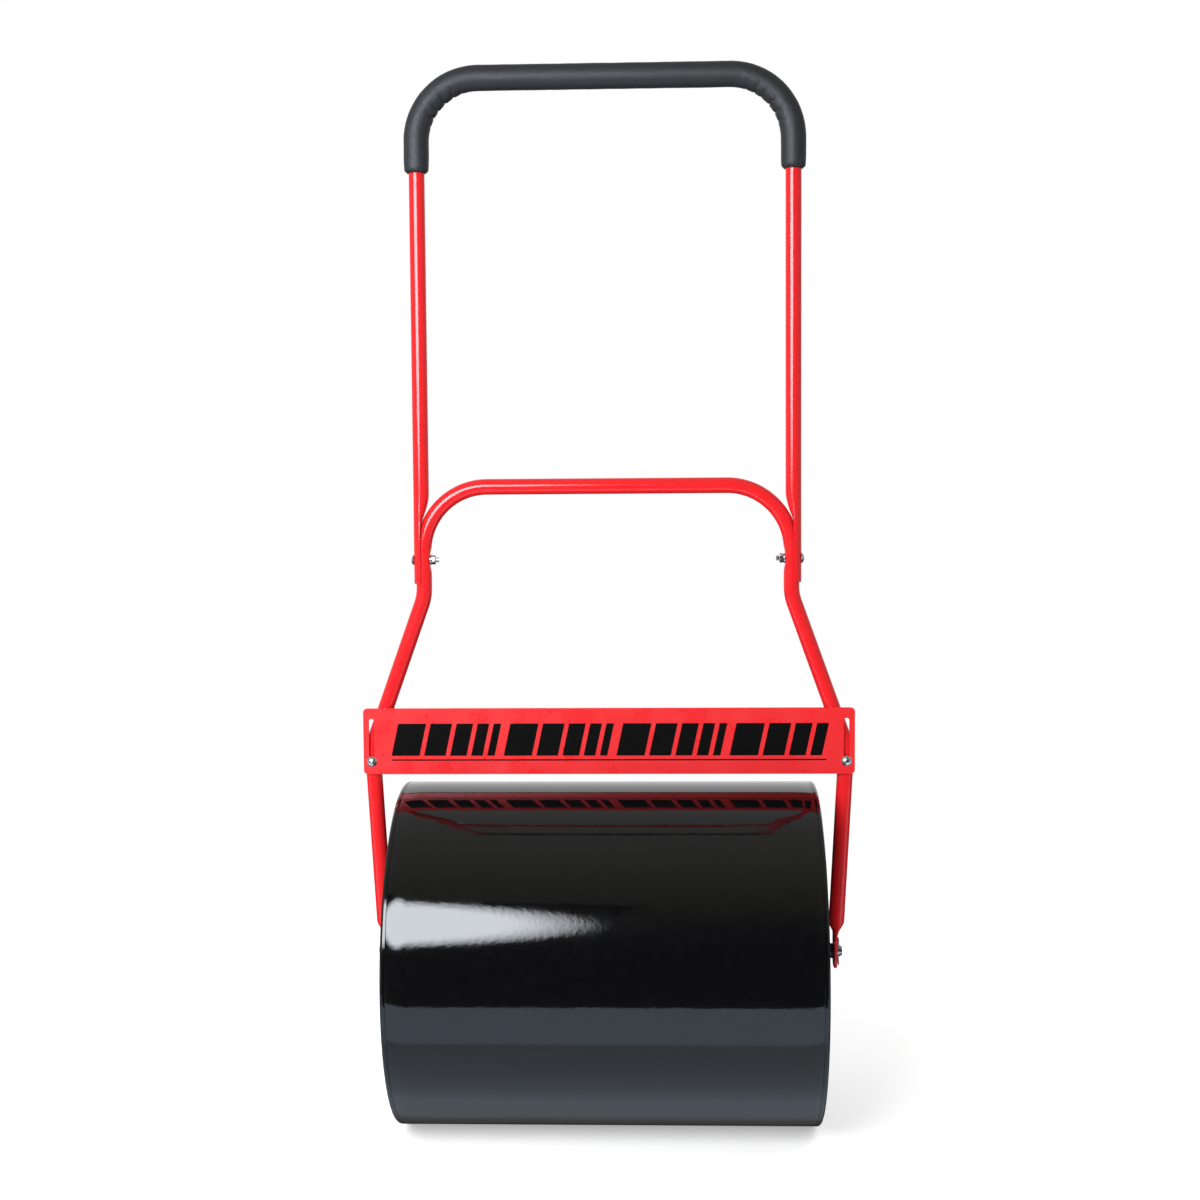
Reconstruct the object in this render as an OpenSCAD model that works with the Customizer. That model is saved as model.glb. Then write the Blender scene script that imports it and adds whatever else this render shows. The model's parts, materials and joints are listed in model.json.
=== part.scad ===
// Ballast lawn roller: a welded steel drum on a through axle, carried in a bent tube frame with a push handle.
// Origin on the ground under the middle of the axle, +X along the axle to the operator's right-hand side of the
// front view, +Z up. The adjustable scraper plate is on the -Y side. Millimetres.

/* [Drum] */
// Outside diameter of the drum
drum_d = 410; // [400:2:420]
// Width of the drum over its rims
drum_w = 500; // [490:2:506]
// Wall thickness of the rolled shell
shell_wall = 1.5; // [1:0.1:2]
// Thickness of the pressed end plates
end_wall = 1.8; // [1.4:0.1:2]
// Width of the end plate's rim outside the shell's edge
rim_w = 6; // [5:0.5:8]
// Depth of the end plate's dish below the rim
dish = 10; // [6:1:12]

/* [Axle] */
// Diameter of the through axle
axle_d = 14; // [12:1:15]
// Length of the axle over its ends
axle_len = 564; // [562:1:570]
// Diameter of the turned noses at the axle's ends
nose_d = 12; // [10:1:13]
// Distance between the middles of the two frame eyes
eye_span = 547.4; // [547:0.2:548]

/* [Filler] */
// Distance of the filler from the axle
filler_r = 142; // [120:1:150]
// Angle of the filler from straight up, towards the scraper side
filler_angle = 45; // [40:1:50]
// Thread diameter of the filler plug
plug_d = 38; // [30:1:40]

/* [Frame] */
// Outside diameter of the frame and handle tubes
tube_d = 19; // [18:0.5:20]
// Wall thickness of the tubes
tube_wall = 1.5; // [1.2:0.1:2]
// Height of the frame's cross bar above the axle
bar_h = 565.4; // [560:1:580]
// Distance between the uprights that carry the handle
upright_span = 442; // [436:1:446]
// Centre-line radius of the cross bar's bends
bar_bend = 77; // [70:1:84]
// Widest distance between the arms, at the knees
knee_span = 574; // [570:1:578]
// Height of the knees above the axle
knee_h = 251; // [248:1:254]
// Height of the shoulders above the axle, where the arms turn upright
shoulder_h = 434; // [428:1:438]

/* [Handle] */
// Height of the grip bar above the axle
grip_h = 1048; // [900:4:1100]
// Centre-line radius of the handle's bends
grip_bend = 74; // [66:1:80]
// Outside diameter of the foam grip
foam_d = 30; // [28:0.5:34]
// Height above the axle at which the foam ends on each leg
foam_end_h = 937.5; // [800:0.5:960]
// Height of the handle bolts above the axle
joint_h = 478; // [472:1:482]

/* [Scraper] */
// Length of the scraper plate
plate_len = 592; // [590:1:600]
// Height of the scraper plate
plate_h = 80; // [70:1:90]
// Thickness of the scraper plate
plate_t = 3; // [2:0.5:4]
// Gap between the plate and the drum
plate_gap = 14; // [13:0.5:18]
// Top of the slots above the plate's lower edge
slot_top = 67.4; // [60:0.2:68]
// Bolts above the plate's lower edge
plate_bolt_h = 15.2; // [14:0.2:17]

/* [Fasteners] */
// Thread diameter of the bolts
bolt_d = 6; // [5:1:6]
// Diameter of the domed bolt heads
head_d = 13.2; // [12:0.2:15]

/* [Hidden] */
$fn = 64;
paint_black = [0.03, 0.03, 0.035];
paint_red = [0.85, 0.05, 0.06];
zinc = [0.75, 0.77, 0.78];
foam_black = [0.09, 0.10, 0.11];

drum_r = drum_d / 2;
axle_z = drum_r;
half_w = drum_w / 2;
tube_r = tube_d / 2;
seam_gap = 0.15;
lap_gap = 0.1;
lap_w = 16;
face_x = half_w - dish;

// eyes: the tube's ends, pressed flat
flat_t = 3.6;
flat_w = 28;
eye_x = eye_span / 2;
eye_below = 20;
flat_above = 18;
taper_above = 37;
arm_foot = [eye_x + 1.8, axle_z + taper_above];
knee = [knee_span / 2, axle_z + knee_h];
shoulder = [upright_span / 2, axle_z + shoulder_h];
bar_corner = [upright_span / 2, axle_z + bar_h];
arm_bend = 60;
function flip(p) = [-p[0], p[1]];
dent_steps = [-14, -11, -7, -3, 3, 7];
right_path = concat([arm_foot, knee, shoulder], [for (z = dent_steps) [upright_span / 2, axle_z + joint_h + z]],
    [bar_corner]);
right_bends = concat([0, arm_bend, arm_bend], [for (z = dent_steps) 0], [bar_bend]);
last = len(right_path) - 1;
frame_path = concat(right_path, [for (i = [last : -1 : 0]) flip(right_path[i])]);
frame_bends = concat(right_bends, [for (i = [last : -1 : 0]) right_bends[i]]);

// handle: its legs end in saddles pressed to wrap the outside of the frame's uprights
upright_x = upright_span / 2;
saddle_gap = 0.1;
saddle_in = tube_r + saddle_gap;
saddle_out = saddle_in + 2.4;
saddle_half_angle = 75;
leg_x = upright_x + saddle_out - tube_r - 0.2;
saddle_low = axle_z + joint_h - 28.6;
saddle_high = axle_z + joint_h + 16;
saddle_blend = 64;
handle_path = [[leg_x, saddle_high + saddle_blend], [leg_x, axle_z + grip_h], [-leg_x, axle_z + grip_h],
    [-leg_x, saddle_high + saddle_blend]];
foam_path = [[leg_x, axle_z + foam_end_h], handle_path[1], handle_path[2], [-leg_x, axle_z + foam_end_h]];
handle_bends = [0, grip_bend, grip_bend, 0];

// the uprights are crushed a little under the handle nuts
dent_depth = 2.2;
dent_r = 45;
joint_z = axle_z + joint_h;
nut_seat_x = upright_x - tube_r + dent_depth - 0.42;

// M6 hardware
washer_d = 2 * bolt_d;
washer_t = 1.6;
nut_t = 5;
nut_af = 10;
head_h = 3.4;
tail = 4.1;
hole_d = bolt_d + 0.5;

// scraper
plate_low = axle_z + drum_r + plate_gap;
plate_y = tube_r + 0.05;
slot_w = bolt_d + 0.5;
plate_bolt_z = plate_low + plate_bolt_h;
arm_lean = atan((knee[0] - arm_foot[0]) / (knee[1] - arm_foot[1]));
plate_bolt_x = arm_foot[0] + (plate_bolt_z - arm_foot[1]) * tan(arm_lean);

// axle stack, from the drum outwards
boss_d = 26;
hub_plate_d = 90;
boss_end = eye_x - flat_t / 2 - 5.2;
bush_flange = 4;
bush_flange_d = 18;
bush_d = 16;
running_gap = 0.08;
pin_wire = 2.6;
pin_x = eye_x + flat_t / 2 + 0.8 + pin_wire / 2;

// filler
neck_out = plug_d / 2 + 7;
neck_face = face_x + 2;
seal_t = 2.5;

module mirrored(side) {
    if (side > 0) children();
    else mirror([1, 0, 0]) children();
}

// turns +Z to +X and stands the children on the axle's line
module on_axle() {
    translate([0, 0, axle_z]) rotate([0, 90, 0]) children();
}

module ring_x(d_out, d_in, x0, x1) {
    on_axle() translate([0, 0, x0]) difference() {
        cylinder(h = x1 - x0, d = d_out);
        translate([0, 0, -1]) cylinder(h = x1 - x0 + 2, d = d_in);
    }
}

// ---- bent round bar in the XZ plane: straight runs joined by bends
function heading(a, b) = atan2(b[1] - a[1], b[0] - a[0]);
function signed_turn(a, b, c) = let (t = heading(b, c) - heading(a, b)) t > 180 ? t - 360 : t < -180 ? t + 360 : t;
function setback(path, bends, i) = i == 0 || i == len(path) - 1 ? 0
    : bends[i] * tan(abs(signed_turn(path[i - 1], path[i], path[i + 1])) / 2);
function step_along(a, b, s) = a + s * (b - a) / norm(b - a);

module bent_bar(path, bends, d) {
    rotate([90, 0, 0]) {
        for (i = [0 : len(path) - 2]) {
            from = step_along(path[i], path[i + 1], setback(path, bends, i));
            to = step_along(path[i + 1], path[i], setback(path, bends, i + 1));
            translate(from) rotate([0, 0, heading(from, to)]) rotate([0, 90, 0]) cylinder(h = norm(to - from), d = d);
        }
        for (i = [1 : len(path) - 2]) {
            turn = signed_turn(path[i - 1], path[i], path[i + 1]);
            side = turn > 0 ? 1 : -1;
            into = heading(path[i - 1], path[i]);
            touch = step_along(path[i], path[i - 1], setback(path, bends, i));
            centre = touch + side * bends[i] * [-sin(into), cos(into)];
            translate(centre) rotate([0, 0, side > 0 ? into - 90 : into + 90 + turn])
                rotate_extrude(angle = abs(turn)) translate([bends[i], 0]) circle(d = d);
        }
    }
}

module bent_tube(path, bends, d_out, d_in) {
    difference() {
        bent_bar(path, bends, d_out);
        bent_bar(path, bends, d_in);
    }
}

// ---- lofts through rings of points, each anticlockwise as seen from the next one
ring_n = 36;
cavity_n = 20;
function ring_angle(i, n) = -90 + (i + 0.5) * 360 / n;
function smooth(s) = s * s * (3 - 2 * s);
function mix(a, b, s) = a + (b - a) * s;
function round_section(r, n) = [for (i = [0 : n - 1]) r * [cos(ring_angle(i, n)), sin(ring_angle(i, n))]];

module loft(rings) {
    n = len(rings[0]);
    top = (len(rings) - 1) * n;
    polyhedron(points = [for (r = rings) for (p = r) p],
        faces = concat([[for (i = [0 : n - 1]) i]], [[for (i = [n - 1 : -1 : 0]) top + i]],
            [for (k = [0 : len(rings) - 2]) for (i = [0 : n - 1]) let (j = (i + 1) % n)
                each [[k * n + i, (k + 1) * n + i, (k + 1) * n + j], [k * n + i, (k + 1) * n + j, k * n + j]]]));
}

// stations along a bent path: [centre, heading], with one at least every step_angle of a bend
function stations(path, bends, step_angle) = [for (i = [0 : len(path) - 1])
    let (ends = i == 0 || i == len(path) - 1, turn = ends ? 0 : signed_turn(path[i - 1], path[i], path[i + 1]),
        into = i == 0 ? heading(path[0], path[1]) : heading(path[i - 1], path[i]), side = turn > 0 ? 1 : -1,
        touch = i == 0 ? path[0] : step_along(path[i], path[i - 1], setback(path, bends, i)),
        centre = touch + side * bends[i] * [-sin(into), cos(into)], n = ceil(abs(turn) / step_angle))
    for (k = [0 : n]) let (h = into + turn * k / max(n, 1)) [centre - side * bends[i] * [-sin(h), cos(h)], h]];

// sets a section's points about a station: x outwards from the frame's middle, y along Y
function ring_at(station, section) = [for (p = section)
    [station[0][0] + p[0] * sin(station[1]), p[1], station[0][1] - p[0] * cos(station[1])]];

// the tube's round section with the nut's dent pressed into its inner side
function dent_x(z, y) = -(tube_r - dent_depth + dent_r - sqrt(max(0, pow(dent_r, 2) - pow(z - joint_z, 2) - y * y)));
function dented(section, z, wall) = [for (p = section) [max(p[0], dent_x(z, p[1]) + wall), p[1]]];

// a pressed flat section with rounded edges, point for point with the round one
flat_span = 60;
sink = 3;
sink_step = 0.06;
function flat_point(a) = let (b = a > 180 ? a - 360 : a, r = flat_t / 2 - sink_step, reach = flat_w / 2 - r - sink_step)
    abs(b) <= flat_span ? [r, reach * b / flat_span]
    : abs(b) >= 180 - flat_span ? [-r, reach * sign(b) * (180 - abs(b)) / flat_span]
    : let (t = (abs(b) - flat_span) / (180 - 2 * flat_span) * 180) [r * cos(t), sign(b) * (reach + r * sin(t))];

taper_steps = 8;
function eye_rings() = [for (k = [-1 : taper_steps - 1])
    let (s = max(k, 0) / taper_steps, e = smooth(s),
        c = [mix(eye_x, arm_foot[0], s), mix(axle_z + flat_above, arm_foot[1], s) - (k < 0 ? sink : 0)],
        flat = [for (i = [0 : ring_n - 1]) flat_point(ring_angle(i, ring_n))])
    ring_at([c, 90 - arm_lean * e], mix(flat, round_section(tube_r, ring_n), e))];
function flip_ring(ring) = [for (i = [0 : len(ring) - 1]) let (p = ring[i]) [-p[0], p[1], p[2]]];

module eye_flat() {
    corner = 9;
    low = axle_z - eye_below;
    translate([eye_x, 0, 0]) rotate([90, 0, 90]) translate([0, 0, -flat_t / 2]) linear_extrude(flat_t) union() {
        translate([-flat_w / 2, low + corner]) square([flat_w, axle_z + flat_above - low - corner]);
        translate([-flat_w / 2 + corner, low]) square([flat_w - 2 * corner, corner + 1]);
        for (s = [-1, 1]) translate([s * (flat_w / 2 - corner), low + corner]) circle(r = corner);
    }
}

// ---- drum
module drum_shell() {
    edge = half_w - rim_w;
    color(paint_black) ring_x(drum_d, drum_d - 2 * shell_wall, -edge, edge);
}

// half section of an end plate: distance from the axle, distance from the drum's middle
function arc_points(c, r, a0, a1, n) = [for (i = [0 : n]) let (a = a0 + (a1 - a0) * i / n) c + r * [cos(a), sin(a)]];
module end_section() {
    shell_in = drum_r - shell_wall - lap_gap;
    skirt_in = shell_in - end_wall;
    lip = half_w - rim_w + seam_gap;
    corner = 4;
    polygon(concat([[axle_d / 2 + seam_gap, face_x], [drum_r - 22, face_x], [drum_r - 15, face_x + 3.5],
            [drum_r - 11, half_w - 1.8], [drum_r - 8.5, half_w]],
        arc_points([drum_r - corner, half_w - corner], corner, 90, 0, 6),
        [[drum_r, lip], [shell_in, lip], [shell_in, lip - lap_w], [skirt_in, lip - lap_w],
            [skirt_in, half_w - 3.8], [skirt_in - 1.4, half_w - end_wall], [drum_r - 7.6, half_w - end_wall],
            [drum_r - 9.8, half_w - 3.2], [drum_r - 13.7, face_x + 2.2], [drum_r - 21.4, face_x - end_wall],
            [axle_d / 2 + seam_gap, face_x - end_wall]]));
}

module filler_axis() {
    translate([0, -filler_r * sin(filler_angle), axle_z + filler_r * cos(filler_angle)]) rotate([0, 90, 0]) children();
}

module drum_end(side) {
    color(paint_black) mirrored(side) difference() {
        on_axle() rotate_extrude() end_section();
        if (side > 0) filler_axis() translate([0, 0, face_x - 10]) cylinder(h = 20, r = neck_out - 3);
    }
}

module hub_plate(side) {
    color(paint_black) mirrored(side) ring_x(hub_plate_d, boss_d + 2 * seam_gap, face_x + 0.05, face_x + 4);
}

module hub_boss(side) {
    color(paint_black) mirrored(side) ring_x(boss_d, axle_d + 2 * seam_gap, face_x + 0.05, boss_end);
}

module axle() {
    chamfer = 0.6;
    nose_len = 2.6;
    color(zinc) difference() {
        on_axle() translate([0, 0, -axle_len / 2]) union() {
            cylinder(h = chamfer, d1 = nose_d - 2 * chamfer, d2 = nose_d);
            translate([0, 0, chamfer]) cylinder(h = axle_len - 2 * chamfer, d = nose_d);
            translate([0, 0, axle_len - chamfer]) cylinder(h = chamfer, d1 = nose_d, d2 = nose_d - 2 * chamfer);
            translate([0, 0, nose_len]) cylinder(h = axle_len - 2 * nose_len, d = axle_d);
        }
        for (s = [-1, 1]) translate([s * pin_x, 0, axle_z - axle_d]) cylinder(h = 2 * axle_d, d = pin_wire + 0.6);
    }
}

// split pin: an eye above the axle and two legs through it, sprung apart below
module split_pin(side) {
    eye = 3.4;
    leg = pin_wire / 2;
    eye_z = axle_z + axle_d / 2 + eye + 1.6;
    color(zinc) mirrored(side) translate([pin_x, 0, 0]) union() {
        translate([0, 0, axle_z - axle_d / 2 - 2.5]) cylinder(h = axle_d + 4.5, d = pin_wire);
        translate([0, 0, eye_z]) rotate([0, 90, 0]) rotate_extrude() translate([eye, 0]) circle(r = leg * 0.8);
        for (s = [-1, 1]) translate([0, s * leg * 0.5, axle_z - axle_d / 2 - 2]) rotate([s * 28, 0, 0])
            translate([0, 0, -8]) cylinder(h = 8, d = leg * 1.5);
    }
}

// ---- filler on the right-hand end
module filler_neck() {
    color(paint_black) filler_axis() difference() {
        union() {
            translate([0, 0, face_x + 0.05]) cylinder(h = neck_face - face_x - 0.05, r = neck_out);
            translate([0, 0, face_x - 10]) cylinder(h = 11, r = neck_out - 3.1);
        }
        translate([0, 0, face_x - 11]) cylinder(h = 20, r = plug_d / 2 + 0.25);
    }
}

module filler_seal() {
    color(foam_black) filler_axis() translate([0, 0, neck_face + 0.05]) difference() {
        cylinder(h = seal_t, r = neck_out - 2);
        translate([0, 0, -1]) cylinder(h = seal_t + 2, r = plug_d / 2 + 0.25);
    }
}

module filler_plug() {
    head_low = neck_face + seal_t + 0.1;
    thread_len = 11;
    color(foam_black) filler_axis() difference() {
        union() {
            translate([0, 0, head_low]) cylinder(h = 4, r = neck_out - 1);
            translate([0, 0, head_low + 3]) cylinder(h = 7, d = 26, $fn = 6);
            translate([0, 0, head_low - thread_len]) cylinder(h = thread_len + 1, d = plug_d - 2);
            for (i = [0 : 2]) translate([0, 0, head_low - 3.4 - 3 * i]) cylinder(h = 1.5, d = plug_d);
        }
        translate([0, 0, head_low - thread_len - 1]) cylinder(h = thread_len - 1, d = plug_d - 8);
    }
}

// ---- frame
module arm_bush(side) {
    x0 = eye_x - flat_t / 2 - 0.05;
    color(foam_black) mirrored(side) on_axle() difference() {
        union() {
            translate([0, 0, x0 - bush_flange]) cylinder(h = bush_flange, d = bush_flange_d);
            translate([0, 0, x0 - 0.5]) cylinder(h = flat_t + 0.4, d = bush_d);
        }
        translate([0, 0, x0 - 10]) cylinder(h = 20, d = axle_d + 2 * running_gap);
    }
}

frame_stations = stations(frame_path, frame_bends, 7.5);
function tube_rings(r, n, wall) = [for (st = frame_stations) ring_at(st, dented(round_section(r, n), st[0][1], wall))];

module lower_frame() {
    eyes = eye_rings();
    other_eyes = [for (k = [len(eyes) - 1 : -1 : 0]) flip_ring(eyes[k])];
    color(paint_red) difference() {
        union() {
            loft(concat(eyes, tube_rings(tube_r, ring_n, 0), other_eyes));
            for (s = [-1, 1]) mirrored(s) eye_flat();
        }
        loft(tube_rings(tube_r - tube_wall, cavity_n, tube_wall));
        for (s = [-1, 1]) mirrored(s) {
            on_axle() translate([0, 0, eye_x - 10]) cylinder(h = 20, d = bush_d + 0.1);
            translate([upright_x - 20, 0, joint_z]) rotate([0, 90, 0]) cylinder(h = 40, d = hole_d);
            translate([plate_bolt_x, 20, plate_bolt_z]) rotate([90, 0, 0]) cylinder(h = 40, d = hole_d);
        }
    }
}

// saddle section about the upright: the outer and inner walls of the pressed tube
function saddle_point(i) = let (half = ring_n / 2, outer = i < half, k = outer ? i : ring_n - 1 - i,
    a = saddle_half_angle * (2 * k / (half - 1) - 1), r = outer ? saddle_out : saddle_in)
    [upright_x + r * cos(a), r * sin(a)];

module saddle_end() {
    loft(concat([[for (i = [0 : ring_n - 1]) let (p = saddle_point(i)) [p[0], p[1], saddle_low]]],
        [for (k = [0 : taper_steps + 1])
            let (s = min(k, taper_steps) / taper_steps, z = saddle_high + saddle_blend * s + (k > taper_steps ? sink : 0))
            [for (i = [0 : ring_n - 1])
                let (p = mix(saddle_point(i), [leg_x, 0] + round_section(tube_r - sink_step, ring_n)[i], smooth(s)))
                [p[0], p[1], z]]]));
}

module handle_tube() {
    vent_d = 4;
    color(paint_red) difference() {
        union() {
            bent_tube(handle_path, handle_bends, tube_d, tube_d - 2 * tube_wall);
            for (s = [-1, 1]) mirrored(s) saddle_end();
        }
        for (s = [-1, 1]) translate([s * upright_x - 20, 0, joint_z]) rotate([0, 90, 0]) cylinder(h = 40, d = hole_d);
        translate([0, 0, axle_z + grip_h - tube_d]) cylinder(h = tube_d, d = vent_d);
    }
}

module foam_grip() {
    color(foam_black) bent_tube(foam_path, handle_bends, foam_d, tube_d + 0.3);
}

// ---- fasteners, each built along +Z with the head's underside at the origin and the head below it
module domed_bolt(length) {
    rise = head_h;
    r = (head_d * head_d / 4 + rise * rise) / (2 * rise);
    union() {
        intersection() {
            translate([0, 0, r - rise]) sphere(r = r, $fn = 96);
            translate([0, 0, -rise]) cylinder(h = rise, d = head_d + 1);
        }
        cylinder(h = length, d = bolt_d);
    }
}

module plain_washer() {
    difference() {
        cylinder(h = washer_t, d = washer_d);
        translate([0, 0, -1]) cylinder(h = washer_t + 2, d = bolt_d + 0.4);
    }
}

module hex_nut() {
    difference() {
        cylinder(h = nut_t, d = nut_af / cos(30), $fn = 6);
        translate([0, 0, -1]) cylinder(h = nut_t + 2, d = bolt_d + 0.1);
    }
}

// turns +Z to point from the outside of a handle joint to the middle of the frame
module handle_joint(side, x) {
    mirrored(side) translate([x, 0, joint_z]) rotate([0, -90, 0]) children();
}

// turns +Z to +Y at a scraper bolt
module scraper_joint(side, y) {
    mirrored(side) translate([plate_bolt_x, y, plate_bolt_z]) rotate([-90, 0, 0]) children();
}

saddle_face = upright_x + saddle_out + 0.05;
module handle_bolt(side) {
    seat_to_tip = saddle_face - nut_seat_x + 0.05 + washer_t + nut_t + tail;
    color(zinc) handle_joint(side, saddle_face) domed_bolt(seat_to_tip);
}

module handle_washer(side) {
    color(zinc) handle_joint(side, nut_seat_x - 0.05) plain_washer();
}

module handle_nut(side) {
    color(zinc) handle_joint(side, nut_seat_x - 0.1 - washer_t) hex_nut();
}

module scraper_plate() {
    corner = 5;
    slot_r = slot_w / 2;
    slot_low = plate_bolt_h - 1.9;
    color(paint_red) translate([0, -plate_y, plate_low]) rotate([90, 0, 0]) linear_extrude(plate_t) difference() {
        union() {
            translate([-plate_len / 2 + corner, 0]) square([plate_len - 2 * corner, plate_h]);
            translate([-plate_len / 2, corner]) square([plate_len, plate_h - 2 * corner]);
            for (x = [-1, 1]) for (z = [corner, plate_h - corner])
                translate([x * (plate_len / 2 - corner), z]) circle(r = corner);
        }
        for (x = [-1, 1]) translate([x * plate_bolt_x, 0]) union() {
            translate([-slot_r, slot_low]) square([slot_w, slot_top - slot_r - slot_low]);
            translate([0, slot_low]) circle(r = slot_r);
            translate([0, slot_top - slot_r]) circle(r = slot_r);
        }
    }
}

plate_front = plate_y + plate_t + 0.05;
module scraper_bolt(side) {
    color(zinc) scraper_joint(side, -plate_front) domed_bolt(plate_front + tube_r + 0.1 + washer_t + nut_t + 2.5);
}

module scraper_washer(side) {
    color(zinc) scraper_joint(side, tube_r + 0.05) plain_washer();
}

module scraper_nut(side) {
    color(zinc) scraper_joint(side, tube_r + 0.1 + washer_t) hex_nut();
}

drum_shell();
drum_end(-1);  // drum_end_left
drum_end(1);  // drum_end_right
hub_plate(-1);  // hub_plate_left
hub_plate(1);  // hub_plate_right
hub_boss(-1);  // hub_boss_left
hub_boss(1);  // hub_boss_right
axle();
split_pin(-1);  // split_pin_left
split_pin(1);  // split_pin_right
filler_neck();
filler_seal();
filler_plug();
arm_bush(-1);  // arm_bush_left
arm_bush(1);  // arm_bush_right
lower_frame();
handle_tube();
foam_grip();
handle_bolt(-1);  // handle_bolt_left
handle_bolt(1);  // handle_bolt_right
handle_washer(-1);  // handle_washer_left
handle_washer(1);  // handle_washer_right
handle_nut(-1);  // handle_nut_left
handle_nut(1);  // handle_nut_right
scraper_plate();
scraper_bolt(-1);  // scraper_bolt_left
scraper_bolt(1);  // scraper_bolt_right
scraper_washer(-1);  // scraper_washer_left
scraper_washer(1);  // scraper_washer_right
scraper_nut(-1);  // scraper_nut_left
scraper_nut(1);  // scraper_nut_right
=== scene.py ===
"""Looks of a ballast lawn roller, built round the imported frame.

Metres, in the frame's own axes: +X along the axle, +Z up, the scraper plate on the -Y side.
"""
import json
import math

import bmesh
import bpy
from mathutils import Matrix, Vector, noise


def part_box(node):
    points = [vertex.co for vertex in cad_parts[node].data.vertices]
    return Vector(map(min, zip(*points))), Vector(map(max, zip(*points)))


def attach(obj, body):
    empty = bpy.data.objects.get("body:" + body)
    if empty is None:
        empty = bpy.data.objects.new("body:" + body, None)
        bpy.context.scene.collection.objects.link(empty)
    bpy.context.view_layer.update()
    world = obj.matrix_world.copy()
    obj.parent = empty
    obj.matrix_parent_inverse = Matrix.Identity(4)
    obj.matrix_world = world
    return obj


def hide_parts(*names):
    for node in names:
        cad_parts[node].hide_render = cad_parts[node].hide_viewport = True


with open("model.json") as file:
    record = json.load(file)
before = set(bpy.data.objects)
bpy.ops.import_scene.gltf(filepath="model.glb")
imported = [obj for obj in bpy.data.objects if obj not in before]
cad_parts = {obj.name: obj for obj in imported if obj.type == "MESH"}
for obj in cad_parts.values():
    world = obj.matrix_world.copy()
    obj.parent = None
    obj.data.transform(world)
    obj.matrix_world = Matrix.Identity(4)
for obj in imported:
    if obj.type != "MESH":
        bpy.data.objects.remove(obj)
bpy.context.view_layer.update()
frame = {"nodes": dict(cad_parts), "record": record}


# ---- sizes in metres: read from the frame where a box gives them, the rest as in the part's source

def centre(node):
    low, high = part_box(node)
    return (low + high) / 2


shell_low, shell_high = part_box("drum_shell")
DRUM_R = (shell_high.z - shell_low.z) / 2
AXLE_Z = (shell_high.z + shell_low.z) / 2
SHELL_HALF = shell_high.x

foam_low, foam_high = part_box("foam_grip")
FOAM_R = foam_high.y
LEG_X = foam_high.x - FOAM_R
GRIP_Z = foam_high.z - FOAM_R
TUBE_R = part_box("handle_tube")[1].z - GRIP_Z
BAR_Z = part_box("lower_frame")[1].z - TUBE_R
JOINT_Z = centre("handle_bolt_right").z
EYE_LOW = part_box("lower_frame")[0].z

# path of the lower frame: eye, arm, knee, shoulder and upright, on the +X side
EYE_X = 0.2737
UPRIGHT_X = 0.221
KNEE = (0.287, AXLE_Z + 0.251)
SHOULDER_Z = AXLE_Z + 0.434
ARM_FOOT = (EYE_X + 0.0018, AXLE_Z + 0.037)
FLAT_TOP = AXLE_Z + 0.018
ARM_BEND = 0.060
BAR_BEND = 0.077
GRIP_BEND = 0.074

# the tube's ends pressed flat, with the hole for the bush
FLAT_T = 0.0036
FLAT_W = 0.028
EYE_CORNER = 0.009
EYE_HOLE_R = 0.00805

# the handle's ends pressed round the uprights
SADDLE_LOW = JOINT_Z - 0.0286
SADDLE_HIGH = JOINT_Z + 0.016
SADDLE_BLEND = 0.064
SADDLE_IN = TUBE_R + 0.0001
SADDLE_OUT = SADDLE_IN + 0.0024
SADDLE_HALF_ANGLE = math.radians(75)


# ---- camera

def add_camera():
    """A normal lens at about waist height, a little to the right of the roller."""
    distance = 2.109
    height = 0.781
    offset = 0.070
    turn = math.radians(2.14)
    tilt = math.radians(4.0)
    lean = math.radians(0.42)
    ahead = Vector((-math.sin(turn) * math.cos(tilt), math.cos(turn) * math.cos(tilt), -math.sin(tilt)))
    level_right = ahead.cross(Vector((0, 0, 1))).normalized()
    level_up = level_right.cross(ahead)
    right = level_right * math.cos(lean) - level_up * math.sin(lean)
    up = right.cross(ahead)
    data = bpy.data.cameras.new("camera")
    data.sensor_width = 36.0
    data.lens = 52.7
    data.clip_start = 0.01
    camera = bpy.data.objects.new("camera", data)
    camera.matrix_world = Matrix((
        (right.x, up.x, -ahead.x, offset),
        (right.y, up.y, -ahead.y, -distance),
        (right.z, up.z, -ahead.z, height),
        (0, 0, 0, 1),
    ))
    bpy.context.scene.collection.objects.link(camera)
    bpy.context.scene.camera = camera


add_camera()


# ---- materials

def fill_ramp(node, stops):
    """stops are (position, value or colour)"""
    elements = node.color_ramp.elements
    while len(elements) < len(stops):
        elements.new(0.5)
    for element, (position, value) in zip(elements, stops):
        element.position = position
        color = value if isinstance(value, tuple) else (value,) * 3
        element.color = (*color, 1)


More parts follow.
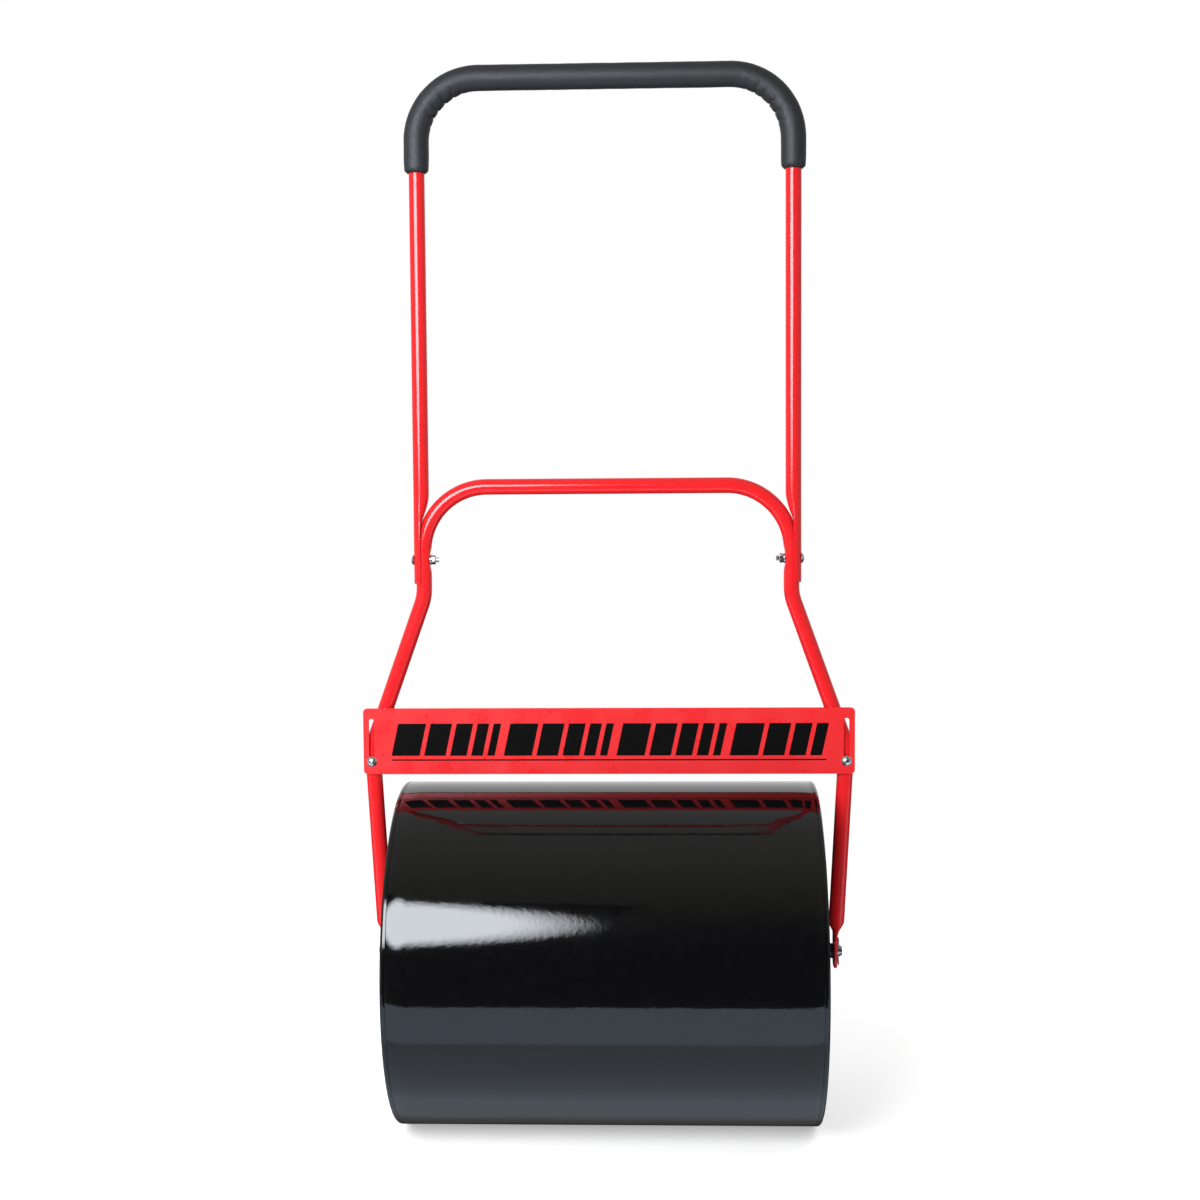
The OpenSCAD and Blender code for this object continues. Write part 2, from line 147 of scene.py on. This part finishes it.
class Shader:
    """A material with one Principled shader, and short calls for the nodes in front of it."""

    def __init__(self, name, color, rough, **sockets):
        self.material = bpy.data.materials.new(name)
        self.material.use_nodes = True
        self.nodes = self.material.node_tree.nodes
        self.links = self.material.node_tree.links
        self.shader = self.nodes["Principled BSDF"]
        self.shader.inputs["Base Color"].default_value = (*color, 1)
        self.shader.inputs["Roughness"].default_value = rough
        for socket, value in sockets.items():
            self.shader.inputs[socket.replace("_", " ")].default_value = value
        self.place = self.nodes.new("ShaderNodeTexCoord").outputs["Object"]
        self.normal = None

    def scaled_place(self, scale):
        node = self.nodes.new("ShaderNodeMapping")
        node.inputs["Scale"].default_value = scale
        self.links.new(self.place, node.inputs["Vector"])
        return node.outputs["Vector"]

    def noise(self, scale, detail=2.0, rough=0.5, stretch=None):
        node = self.nodes.new("ShaderNodeTexNoise")
        node.inputs["Scale"].default_value = scale
        node.inputs["Detail"].default_value = detail
        node.inputs["Roughness"].default_value = rough
        source = self.scaled_place(stretch) if stretch else self.place
        self.links.new(source, node.inputs["Vector"])
        return node.outputs["Fac"]

    def cells(self, scale):
        node = self.nodes.new("ShaderNodeTexVoronoi")
        node.inputs["Scale"].default_value = scale
        self.links.new(self.place, node.inputs["Vector"])
        return node.outputs["Distance"]

    def gradient(self, kind, source):
        node = self.nodes.new("ShaderNodeTexGradient")
        node.gradient_type = kind
        self.links.new(source, node.inputs["Vector"])
        return node.outputs["Fac"]

    def ramp(self, source, *stops):
        node = self.nodes.new("ShaderNodeValToRGB")
        fill_ramp(node, stops)
        self.links.new(source, node.inputs["Fac"])
        return node.outputs["Color"]

    def to(self, socket, source):
        self.links.new(source, self.shader.inputs[socket])

    def bump(self, source, strength, distance):
        node = self.nodes.new("ShaderNodeBump")
        node.inputs["Strength"].default_value = strength
        node.inputs["Distance"].default_value = distance
        self.links.new(source, node.inputs["Height"])
        if self.normal:
            self.links.new(self.normal, node.inputs["Normal"])
        self.normal = node.outputs["Normal"]
        self.links.new(self.normal, self.shader.inputs["Normal"])


def drum_paint():
    """Stoved black gloss: orange peel, a slightly wavy shell and a little dust."""
    s = Shader("drum_paint", (0.005, 0.005, 0.006), 0.06, Specular_IOR_Level=0.5)
    s.bump(s.noise(7.0, 1.0, stretch=(0.5, 1.0, 1.0)), 0.25, 0.0010)
    s.bump(s.noise(170.0, 1.5), 0.20, 0.00022)
    s.to("Roughness", s.ramp(s.noise(34.0, 4.0, 0.62), (0.35, 0.055), (0.80, 0.085)))
    dust = s.noise(90.0, 5.0, 0.6)
    s.to("Base Color", s.ramp(dust, (0.50, (0.0025, 0.0025, 0.003)), (0.90, (0.005, 0.005, 0.005))))
    return s.material


def red_paint(name, color, rough, peel):
    """Red powder coat: fine orange peel and slightly deeper colour in patches."""
    deep = tuple(c * 0.95 for c in color)
    s = Shader(name, color, rough, Specular_IOR_Level=0.5)
    s.bump(s.noise(420.0, 2.0), peel, 0.00012)
    s.bump(s.noise(60.0, 2.0), 0.04, 0.0002)
    s.to("Roughness", s.ramp(s.noise(45.0, 4.0), (0.3, rough * 0.8), (0.8, rough * 1.35)))
    s.to("Base Color", s.ramp(s.noise(14.0, 3.0), (0.3, deep), (0.7, color)))
    return s.material


def foam():
    """Foam rubber: dark, satin along its skin, finely pored."""
    s = Shader("foam", (0.018, 0.021, 0.024), 0.55, Specular_IOR_Level=0.42)
    s.bump(s.noise(150.0, 3.0), 0.30, 0.0005)
    s.bump(s.cells(1150.0), 0.40, 0.0003)
    s.to("Roughness", s.ramp(s.noise(260.0, 4.0), (0.3, 0.46), (0.8, 0.64)))
    pores = s.noise(380.0, 5.0, 0.65)
    s.to("Base Color", s.ramp(pores, (0.30, (0.012, 0.014, 0.017)), (0.72, (0.022, 0.026, 0.030))))
    return s.material


def zinc(name, color, rough):
    """Zinc plate: bright, a little cloudy, finely brushed."""
    s = Shader(name, color, rough, Metallic=1.0)
    s.bump(s.noise(900.0, 3.0, stretch=(1.0, 1.0, 0.25)), 0.18, 0.00008)
    s.to("Roughness", s.ramp(s.noise(220.0, 4.0), (0.3, rough * 0.75), (0.8, rough * 1.7)))
    cloud = tuple(c * 0.82 for c in color)
    s.to("Base Color", s.ramp(s.noise(120.0, 4.0), (0.25, cloud), (0.75, color)))
    return s.material


def plastic(name, color, rough, grain, specular=0.3):
    """Moulded plastic, rubber or ink with a fine grain."""
    s = Shader(name, color, rough, Specular_IOR_Level=specular)
    s.bump(s.noise(grain, 3.0), 0.35, 0.00012)
    s.to("Roughness", s.ramp(s.noise(80.0, 3.0), (0.3, rough * 0.85), (0.8, min(1.0, rough * 1.3))))
    return s.material


RED = (0.68, 0.014, 0.018)
DRUM_PAINT = drum_paint()
FRAME_PAINT = red_paint("frame_paint", RED, 0.13, 0.10)
PLATE_PAINT = red_paint("plate_paint", RED, 0.30, 0.30)
FOAM = foam()
ZINC = zinc("zinc", (0.82, 0.83, 0.84), 0.20)
AXLE_STEEL = zinc("axle_steel", (0.58, 0.58, 0.59), 0.32)
NYLON = plastic("black_nylon", (0.018, 0.018, 0.020), 0.42, 700.0)
PLUG = plastic("plug_plastic", (0.020, 0.020, 0.022), 0.38, 500.0)
SEAL = plastic("seal_rubber", (0.030, 0.029, 0.028), 0.75, 900.0)
PRINT = plastic("print_black", (0.002, 0.002, 0.002), 0.65, 800.0, specular=0.05)
by_slot = {
    "drum_paint": DRUM_PAINT,
    "frame_paint": FRAME_PAINT,
    "plate_paint": PLATE_PAINT,
    "foam": FOAM,
    "zinc": ZINC,
    "axle_steel": AXLE_STEEL,
    "black_nylon": NYLON,
    "plug_plastic": PLUG,
    "seal_rubber": SEAL,
}
slot_of = {part["node"]: part["material_slot"] for part in frame["record"]["subparts"]}
for node, obj in frame["nodes"].items():
    obj.data.materials.clear()
    obj.data.materials.append(by_slot[slot_of[node]])


# ---- meshes

def add_piece(name, points, faces, material, body, replaces=(), sharp=35.0):
    mesh = bpy.data.meshes.new(name)
    mesh.from_pydata([tuple(p) for p in points], [], faces)
    work = bmesh.new()
    work.from_mesh(mesh)
    bmesh.ops.recalc_face_normals(work, faces=work.faces)
    work.to_mesh(mesh)
    work.free()
    mesh.shade_smooth()
    mesh.set_sharp_from_angle(angle=math.radians(sharp))
    mesh.materials.append(material)
    obj = bpy.data.objects.new(name, mesh)
    bpy.context.scene.collection.objects.link(obj)
    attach(obj, body)
    if replaces:
        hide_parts(*replaces)
    return obj


def skin(rings, closed=False):
    """Faces between rings of equal length, with end caps unless the rings close on themselves."""
    n = len(rings[0])
    points = [p for ring in rings for p in ring]
    faces = []
    count = len(rings)
    for k in range(count if closed else count - 1):
        a = k * n
        b = (k + 1) % count * n
        faces += [(a + i, a + (i + 1) % n, b + (i + 1) % n, b + i) for i in range(n)]
    if not closed:
        faces.append(tuple(range(n))[::-1])
        faces.append(tuple((count - 1) * n + i for i in range(n)))
    return points, faces


def join_parts(parts):
    """Several (points, faces) as one."""
    points, faces = [], []
    for more_points, more_faces in parts:
        start = len(points)
        points += list(more_points)
        faces += [tuple(start + i for i in face) for face in more_faces]
    return points, faces


def lathe(profile, n, closed=False):
    """Turns (radius, x) round the axle's line."""
    angles = [2 * math.pi * i / n for i in range(n)]
    rings = [[(x, r * math.sin(a), AXLE_Z + r * math.cos(a)) for a in angles] for r, x in profile]
    return skin(rings, closed)


# ---- bent tubes in the XZ plane, as in the part's source: stations of (x, z, heading)

def heading(a, b):
    return math.atan2(b[1] - a[1], b[0] - a[0])


def stations(path, bends, step):
    """Stations along straight runs and bends, at least one every step of a bend's angle."""
    out = []
    for i, here in enumerate(path):
        if i in (0, len(path) - 1):
            h = heading(path[0], path[1]) if i == 0 else heading(path[-2], path[-1])
            out.append((here[0], here[1], h))
            continue
        into = heading(path[i - 1], here)
        turn = (heading(here, path[i + 1]) - into + math.pi) % (2 * math.pi) - math.pi
        side = 1 if turn > 0 else -1
        back = bends[i] * math.tan(abs(turn) / 2)
        touch = (here[0] - back * math.cos(into), here[1] - back * math.sin(into))
        middle = (touch[0] - side * bends[i] * math.sin(into), touch[1] + side * bends[i] * math.cos(into))
        n = math.ceil(abs(turn) / step)
        for k in range(n + 1):
            h = into + turn * k / max(n, 1)
            x = middle[0] + side * bends[i] * math.sin(h)
            z = middle[1] - side * bends[i] * math.cos(h)
            out.append((x, z, h))
    return unwound(out)


def unwound(line):
    """The same stations with headings that never jump by a whole turn."""
    out = [line[0]]
    for x, z, h in line[1:]:
        turns = round((out[-1][2] - h) / (2 * math.pi))
        out.append((x, z, h + 2 * math.pi * turns))
    return out


def spread(line, gap):
    """The same stations with more along the straight runs, none further apart than gap."""
    out = [line[0]]
    for a, b in zip(line, line[1:]):
        n = max(1, math.ceil(math.dist(a[:2], b[:2]) / gap))
        for k in range(1, n + 1):
            s = k / n
            out.append((a[0] + (b[0] - a[0]) * s, a[1] + (b[1] - a[1]) * s, a[2] + (b[2] - a[2]) * s))
    return out


def ring_at(station, section):
    """Sets section points (outwards, y) about a station."""
    x, z, h = station
    return [(x + p * math.sin(h), y, z - p * math.cos(h)) for p, y in section]


def ring_angle(i, n):
    return math.radians(-90 + (i + 0.5) * 360 / n)


def round_section(r, n):
    return [(r * math.cos(ring_angle(i, n)), r * math.sin(ring_angle(i, n))) for i in range(n)]


def mix_sections(a, b, s):
    return [(p[0] + (q[0] - p[0]) * s, p[1] + (q[1] - p[1]) * s) for p, q in zip(a, b)]


def smooth(s):
    s = min(1.0, max(0.0, s))
    return s * s * (3 - 2 * s)


def flip(ring):
    return [(-x, y, z) for x, y, z in ring]


RING = 48


def flat_section():
    """The tube's end pressed flat, point for point with its round section."""
    r = FLAT_T / 2
    reach = FLAT_W / 2 - r
    span = math.radians(60)
    out = []
    for i in range(RING):
        a = ring_angle(i, RING)
        a = a - 2 * math.pi if a > math.pi else a
        if abs(a) <= span:
            out.append((r, reach * a / span))
        elif abs(a) >= math.pi - span:
            out.append((-r, math.copysign(reach * (math.pi - abs(a)) / span, a)))
        else:
            t = (abs(a) - span) / (math.pi - 2 * span) * math.pi
            out.append((r * math.cos(t), math.copysign(reach + r * math.sin(t), a)))
    return out


def crushed(section, z):
    """The upright's inner side, pressed in by the handle's nut, with the metal pushed out to the sides."""
    depth = 0.0022
    radius = 0.045
    ease = 0.0012
    swell_length = 0.009
    swell_share = 0.035
    out = []
    for p, y in section:
        floor = -(TUBE_R - depth + radius - math.sqrt(max(0.0, radius ** 2 - (z - JOINT_Z) ** 2 - y * y)))
        blend = max(0.0, ease - abs(p - floor)) / ease
        pressed = max(p, floor) + blend * blend * ease / 4
        near = math.exp(-((z - JOINT_Z) / swell_length) ** 2)
        swell = 1 + swell_share * near * max(0.0, -p / TUBE_R)
        out.append((pressed, y * swell))
    return out


def eye_outline(n):
    """The flat end's outline round the axle: a rectangle whose lower corners are round."""
    half = FLAT_W / 2
    lap = 0.004
    reach_up = FLAT_TOP + lap - AXLE_Z
    reach_down = AXLE_Z - EYE_LOW
    foot = EYE_LOW + EYE_CORNER
    out = []
    for k in range(n):
        a = 2 * math.pi * k / n
        dy = math.sin(a)
        dz = math.cos(a)
        to_side = half / max(abs(dy), 1e-9)
        to_end = (reach_up if dz > 0 else reach_down) / max(abs(dz), 1e-9)
        t = min(to_side, to_end)
        y = dy * t
        z = AXLE_Z + dz * t
        if z < foot and abs(y) > half - EYE_CORNER:
            away = Vector((abs(y) - (half - EYE_CORNER), foot - z))
            if away.length > EYE_CORNER:
                away *= EYE_CORNER / away.length
            y = math.copysign(half - EYE_CORNER + away.x, y)
            z = foot - away.y
        out.append((y, z))
    return out


def inset(loop, by):
    """A loop drawn in towards the axle's line."""
    out = []
    for y, z in loop:
        share = by / math.hypot(y, z - AXLE_Z)
        out.append((y - y * share, z - (z - AXLE_Z) * share))
    return out


def eye_plate(side):
    """The flat end with its rounded foot and the hole for the bush, all edges chamfered."""
    n = 48
    edge = 0.0007
    outline = eye_outline(n)
    angles = [2 * math.pi * k / n for k in range(n)]
    hole = [(EYE_HOLE_R * math.sin(a), AXLE_Z + EYE_HOLE_R * math.cos(a)) for a in angles]
    x0 = EYE_X - FLAT_T / 2
    x1 = EYE_X + FLAT_T / 2
    loops = [
        (hole, x0 + edge),
        (inset(hole, -edge), x0),
        (inset(outline, edge), x0),
        (outline, x0 + edge),
        (outline, x1 - edge),
        (inset(outline, edge), x1),
        (inset(hole, -edge), x1),
        (hole, x1 - edge),
    ]
    rings = [[(side * x, y, z) for y, z in loop] for loop, x in loops]
    return skin(rings, closed=True)


def eye_taper():
    """Sections from the flat end up to the round arm."""
    lean = math.pi / 2 - heading(ARM_FOOT, KNEE)
    steps = 20
    sink = 0.003
    out = []
    for k in range(-1, steps):
        s = max(k, 0) / steps
        e = smooth(s)
        x = EYE_X + (ARM_FOOT[0] - EYE_X) * s
        z = FLAT_TOP + (ARM_FOOT[1] - FLAT_TOP) * s - (sink if k < 0 else 0)
        section = mix_sections(flat_section(), round_section(TUBE_R, RING), e)
        out.append(ring_at((x, z, math.pi / 2 - lean * e), section))
    return out


def frame_tube():
    """The lower frame: one bent tube whose ends are pressed flat for the axle."""
    half = [
        ARM_FOOT,
        KNEE,
        (UPRIGHT_X, SHOULDER_Z),
        (UPRIGHT_X, JOINT_Z - 0.018),
        (UPRIGHT_X, JOINT_Z + 0.008),
        (UPRIGHT_X, BAR_Z),
    ]
    half_bends = [0, ARM_BEND, ARM_BEND, 0, 0, BAR_BEND]
    path = half + [(-x, z) for x, z in reversed(half)]
    line = stations(path, half_bends + half_bends[::-1], math.radians(3))
    dent_reach = 0.017
    fine = []
    for a, b in zip(line, line[1:]):
        dented = abs((a[1] + b[1]) / 2 - JOINT_Z) < dent_reach
        fine += spread([a, b], 0.0012 if dented else 0.04)[:-1]
    fine.append(line[-1])
    body = [ring_at(st, crushed(round_section(TUBE_R, RING), st[1])) for st in fine]
    eye = eye_taper()
    rings = eye + body + [flip(r) for r in reversed(eye)]
    points, faces = join_parts([skin(rings), eye_plate(1), eye_plate(-1)])
    add_piece("frame_tube", points, faces, FRAME_PAINT, "frame", ["lower_frame"])


def saddle_section():
    """The leg's end pressed to a crescent round the upright, about the leg's own line."""
    half = RING // 2
    middle = (SADDLE_IN + SADDLE_OUT) / 2
    thin_from = 0.86
    thin_by = 0.55
    out = []
    for i in range(RING):
        outer = i < half
        k = i if outer else RING - 1 - i
        a = SADDLE_HALF_ANGLE * (2 * k / (half - 1) - 1)
        r = SADDLE_OUT if outer else SADDLE_IN
        thin = 1 - thin_by * max(0.0, (abs(a) / SADDLE_HALF_ANGLE - thin_from) / (1 - thin_from)) ** 2
        r = middle + (r - middle) * thin
        out.append((UPRIGHT_X - LEG_X + r * math.cos(a), r * math.sin(a)))
    return out


def handle_tube():
    """The push handle: two bends between its legs, which end in saddles."""
    leg_top = SADDLE_HIGH + SADDLE_BLEND
    path = [(LEG_X, leg_top), (LEG_X, GRIP_Z), (-LEG_X, GRIP_Z), (-LEG_X, leg_top)]
    line = stations(path, [0, GRIP_BEND, GRIP_BEND, 0], math.radians(4))
    body = [ring_at(st, round_section(TUBE_R, RING)) for st in spread(line, 0.05)]
    up = math.pi / 2
    saddle = saddle_section()
    steps = 22
    ends = [ring_at((LEG_X, SADDLE_LOW, up), saddle)]
    for k in range(steps):
        s = k / steps
        section = mix_sections(saddle, round_section(TUBE_R, RING), smooth(s))
        ends.append(ring_at((LEG_X, SADDLE_HIGH + SADDLE_BLEND * s, up), section))
    rings = ends + body + [flip(r) for r in reversed(ends)]
    points, faces = skin(rings)
    add_piece("handle_legs", points, faces, FRAME_PAINT, "frame", ["handle_tube"])


def foam_grip():
    """Foam sleeve pushed round both bends: bunched on their inner sides, a little pinched at its ends."""
    path = [(LEG_X, foam_low.z), (LEG_X, GRIP_Z), (-LEG_X, GRIP_Z), (-LEG_X, foam_low.z)]
    line = spread(stations(path, [0, GRIP_BEND, GRIP_BEND, 0], math.radians(1.2)), 0.003)
    n = 72
    run = [0.0]
    for a, b in zip(line, line[1:]):
        run.append(run[-1] + math.dist(a[:2], b[:2]))
    total = run[-1]
    bend_length = GRIP_BEND * math.pi / 2
    leg_length = GRIP_Z - GRIP_BEND - foam_low.z
    bends = [leg_length + bend_length / 2, total - leg_length - bend_length / 2]
    # creases across the inner side of a bend: place along it from its middle, depth
    creases = [
        (-0.034, 0.0010),
        (-0.021, 0.0019),
        (-0.006, 0.0025),
        (0.009, 0.0016),
        (0.022, 0.0022),
        (0.035, 0.0009),
    ]
    crease_width = 0.0021
    crease_wave = 0.0016
    swell = 0.0007
    swell_length = 0.036
    pinch = 0.0012
    pinch_length = 0.006
    end_round = 0.0025
    lumps = 0.00022
    grain = 0.00010
    proud = 0.0006

    def radius(along, inner, place):
        end = min(along, total - along)
        r = FOAM_R - pinch * math.exp(-end / pinch_length)
        if end < end_round:
            r -= end_round - math.sqrt(max(0.0, end_round ** 2 - (end_round - end) ** 2))
        inside = max(0.0, inner) ** 1.5
        for middle in bends:
            away = along - middle
            r += swell * math.exp(-(away / swell_length) ** 2) * inside
            for at, depth in creases:
                shift = at + crease_wave * math.sin(9 * place.y / FOAM_R + 40 * at)
                r -= depth * inside * math.exp(-((away - shift) / crease_width) ** 2)
        r += lumps * noise.noise(place * 45)
        r += grain * noise.noise(place * 240)
        return min(r, FOAM_R + proud)

    rings = []
    for (x, z, h), along in zip(line, run):
        section = []
        for i in range(n):
            a = ring_angle(i, n)
            out = math.cos(a)
            side = math.sin(a)
            place = Vector((x + FOAM_R * out * math.sin(h), FOAM_R * side, z - FOAM_R * out * math.cos(h)))
            r = radius(along, -out, place)
            section.append((r * out, r * side))
        rings.append(ring_at((x, z, h), section))
    bore = [ring_at(st, round_section(TUBE_R + 0.00015, n)) for st in reversed(line)]
    points, faces = skin(rings + bore, closed=True)
    grip = add_piece("foam_sleeve", points, faces, FOAM, "frame", ["foam_grip"], sharp=60.0)


frame_tube()
handle_tube()
foam_grip()


# ---- drum

def drum_shell():
    """The rolled shell: outer and inner skins, 1.5 mm apart, with a slight roll-over at its edges."""
    wall = 0.0015
    ease = 0.0005
    inner = DRUM_R - wall
    flat = SHELL_HALF - ease
    steps = 24
    edge = [
        (DRUM_R, flat),
        (DRUM_R - ease * 0.3, SHELL_HALF - ease * 0.3),
        (DRUM_R - ease, SHELL_HALF),
        (inner, SHELL_HALF),
    ]
    profile = [(r, -x) for r, x in reversed(edge)]
    profile += [(DRUM_R, -flat + 2 * flat * k / steps) for k in range(1, steps)]
    profile += edge
    points, faces = lathe(profile, 360, closed=True)
    add_piece("shell", points, faces, DRUM_PAINT, "drum", ["drum_shell"], sharp=50.0)


drum_shell()


# ---- printed graphic on the plate: a row of slanted bars over a thin line, no letters

def plate_graphic():
    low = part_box("scraper_plate")[0]
    face_y = low.y - 0.00012
    back_y = low.y + 0.0002
    left = -0.262
    right = 0.262
    bars_z = low.z + 0.0225
    tall = 0.0390
    slant = 0.0085
    widths = [0.034, 0.026, 0.020, 0.014, 0.009]
    gap = 0.0055
    rule_z = low.z + 0.0165
    rule_t = 0.0016

    def slab(corners):
        front = [(x, face_y, z) for x, z in corners]
        back = [(x, back_y, z) for x, z in corners]
        return skin([back, front])

    parts = []
    x = left
    while x + widths[0] < right:
        for w in widths:
            if x + w > right:
                break
            top_z = bars_z + tall
            parts.append(slab([(x, bars_z), (x + w, bars_z), (x + w + slant, top_z), (x + slant, top_z)]))
            x += w + gap
        x += gap
    parts.append(slab([(left, rule_z), (right, rule_z), (right, rule_z + rule_t), (left, rule_z + rule_t)]))
    points, faces = join_parts(parts)
    add_piece("plate_graphic", points, faces, PRINT, "scraper", sharp=30.0)


plate_graphic()


# ---- softened edges on the CAD's own small parts

def soften(node, width, segments=2):
    obj = frame["nodes"][node]
    weld = obj.modifiers.new("weld", "WELD")
    weld.merge_threshold = 0.00001
    bevel = obj.modifiers.new("bevel", "BEVEL")
    bevel.width = width
    bevel.segments = segments
    bevel.limit_method = "ANGLE"
    bevel.angle_limit = math.radians(40)


for side in ("left", "right"):
    soften(f"handle_nut_{side}", 0.0005)
    soften(f"scraper_nut_{side}", 0.0005)
    soften(f"handle_washer_{side}", 0.0002)
    soften(f"scraper_washer_{side}", 0.0002)
soften("scraper_plate", 0.0004)


# ---- floor, world and lights

def add_sheet(name, low, high, material):
    """A flat rectangle between two corners that is part of the studio and not of the roller."""
    mesh = bpy.data.meshes.new(name)
    corners = [(low[0], low[1], 0), (high[0], low[1], 0), (high[0], high[1], 0), (low[0], high[1], 0)]
    mesh.from_pydata(corners, [], [(0, 1, 2, 3)])
    mesh.materials.append(material)
    obj = bpy.data.objects.new(name, mesh)
    bpy.context.scene.collection.objects.link(obj)
    return obj


def only_in_gloss(obj):
    obj.visible_camera = False
    obj.visible_diffuse = False
    obj.visible_shadow = False


def aim_at(obj, place, aim):
    obj.location = place
    obj.rotation_euler = (Vector(aim) - Vector(place)).to_track_quat("-Z", "Y").to_euler()


def add_floor():
    """White paper that fades into the backdrop."""
    paper = Shader("paper", (0.86, 0.86, 0.86), 0.9, Specular_IOR_Level=0.1)
    paper.shader.inputs["Emission Color"].default_value = (1, 1, 1, 1)
    paper.shader.inputs["Emission Strength"].default_value = 0.40
    fade_radius = 1.9
    fade = paper.gradient("SPHERICAL", paper.scaled_place((1 / fade_radius,) * 3))
    paper.to("Alpha", paper.ramp(fade, (0.0, 0.0), (0.62, 1.0)))
    floor = add_sheet("floor", (-4, -4), (4, 4), paper.material)
    floor.location.z = -0.0002
    floor.visible_glossy = False


def add_painted_floor_reflection():
    """The floor's reflection, painted: a glowing sheet seen only in gloss that ends in front of the drum,
    its glow painted darker under the drum as painted shade.
    """
    reach = 0.68
    painted_reflection_color = (0.62, 0.73, 0.90)
    sheet = Shader("painted_floor_reflection", (0, 0, 0), 1.0, Specular_IOR_Level=0.0)
    sheet.shader.inputs["Emission Strength"].default_value = 1.6
    # painted reflection of the floor: bright in front, stepping down to painted shade towards and under the
    # drum
    stops = [
        (0.0, painted_reflection_color),
        (0.50, painted_reflection_color),
        (0.52, (0.38, 0.44, 0.50)),
        (0.66, (0.41, 0.47, 0.53)),
        (0.79, (0.44, 0.53, 0.62)),
        (0.85, (0.24, 0.27, 0.30)),
        (0.88, 0.10),
        (0.92, 0.02),
    ]
    sheet.to("Emission Color", sheet.ramp(sheet.gradient("LINEAR", sheet.place), *stops))
    floor = add_sheet("painted_floor_reflection_sheet", (0, -6), (6, 6), sheet.material)
    floor.location = (0, -reach, -0.0003)
    floor.rotation_euler.z = math.pi / 2
    floor.scale = (reach,) * 3
    only_in_gloss(floor)


def add_world():
    """White to the eye; gloss sees a white wall behind, a grey ceiling and a dark room in front."""
    world = bpy.data.worlds.new("studio")
    bpy.context.scene.world = world
    world.use_nodes = True
    nodes, links = world.node_tree.nodes, world.node_tree.links
    plain = nodes["Background"]
    plain.inputs["Color"].default_value = (1, 1, 1, 1)
    plain.inputs["Strength"].default_value = 1.0
    soft = nodes.new("ShaderNodeBackground")
    soft.inputs["Color"].default_value = (1, 1, 1, 1)
    soft.inputs["Strength"].default_value = 0.42
    room = nodes.new("ShaderNodeBackground")
    path = nodes.new("ShaderNodeLightPath")
    place = nodes.new("ShaderNodeTexCoord")
    split = nodes.new("ShaderNodeSeparateXYZ")
    ramp = nodes.new("ShaderNodeValToRGB")
    fill_ramp(ramp, [
        (0.0, 0.004),
        (0.06, 0.03),
        (0.16, (0.16, 0.16, 0.13)),
        (0.38, (0.34, 0.34, 0.30)),
        (0.78, 0.45),
        (0.92, 1.0),
    ])
    half = nodes.new("ShaderNodeMapRange")
    half.inputs["From Min"].default_value = -1
    links.new(place.outputs["Generated"], split.inputs["Vector"])
    links.new(split.outputs["Y"], half.inputs["Value"])
    links.new(half.outputs["Result"], ramp.inputs["Fac"])
    links.new(ramp.outputs["Color"], room.inputs["Color"])
    seen = nodes.new("ShaderNodeMixShader")
    links.new(path.outputs["Is Camera Ray"], seen.inputs["Fac"])
    links.new(soft.outputs["Background"], seen.inputs[1])
    links.new(plain.outputs["Background"], seen.inputs[2])
    gloss = nodes.new("ShaderNodeMixShader")
    links.new(path.outputs["Is Glossy Ray"], gloss.inputs["Fac"])
    links.new(seen.outputs["Shader"], gloss.inputs[1])
    links.new(room.outputs["Background"], gloss.inputs[2])
    links.new(gloss.outputs["Shader"], nodes["World Output"].inputs["Surface"])


def add_area(name, place, aim, width, height, power):
    """A rectangular light that neither the camera nor gloss sees."""
    data = bpy.data.lights.new(name, "AREA")
    data.shape = "RECTANGLE"
    data.size = width
    data.size_y = height
    data.energy = power
    obj = bpy.data.objects.new(name, data)
    aim_at(obj, place, aim)
    obj.visible_camera = False
    obj.visible_glossy = False
    bpy.context.scene.collection.objects.link(obj)


def add_diffuser(place, aim, half_width, half_height, strength):
    """The softbox's cloth as gloss sees it: an oval that fades out at its edge."""
    cool = (0.90, 0.95, 1.0)
    faint = tuple(c * 0.35 for c in cool)
    cloth = Shader("diffuser_cloth", (0, 0, 0), 1.0, Specular_IOR_Level=0.0)
    cloth.shader.inputs["Emission Strength"].default_value = strength
    oval = cloth.gradient("SPHERICAL", cloth.scaled_place((1 / half_width, 1 / half_height, 1)))
    cloth.to("Emission Color", cloth.ramp(oval, (0.0, 0.0), (0.07, faint), (0.26, cool)))
    diffuser = add_sheet("diffuser", (-half_width, -half_height), (half_width, half_height), cloth.material)
    aim_at(diffuser, place, aim)
    only_in_gloss(diffuser)


add_floor()
add_painted_floor_reflection()
add_world()
add_diffuser((-0.78, -1.75, 1.28), (-0.1, 0.0, 0.35), 0.74, 0.62, 17.0)
add_area("softbox", (-0.95, -1.75, 1.28), (-0.1, 0.0, 0.35), 1.45, 1.10, 60)
add_area("rear_fill", (1.6, 2.4, 2.2), (0, 0, 0.5), 2.2, 2.2, 55)
bpy.context.scene.view_settings.view_transform = "Standard"
bpy.context.scene.view_settings.look = "None"
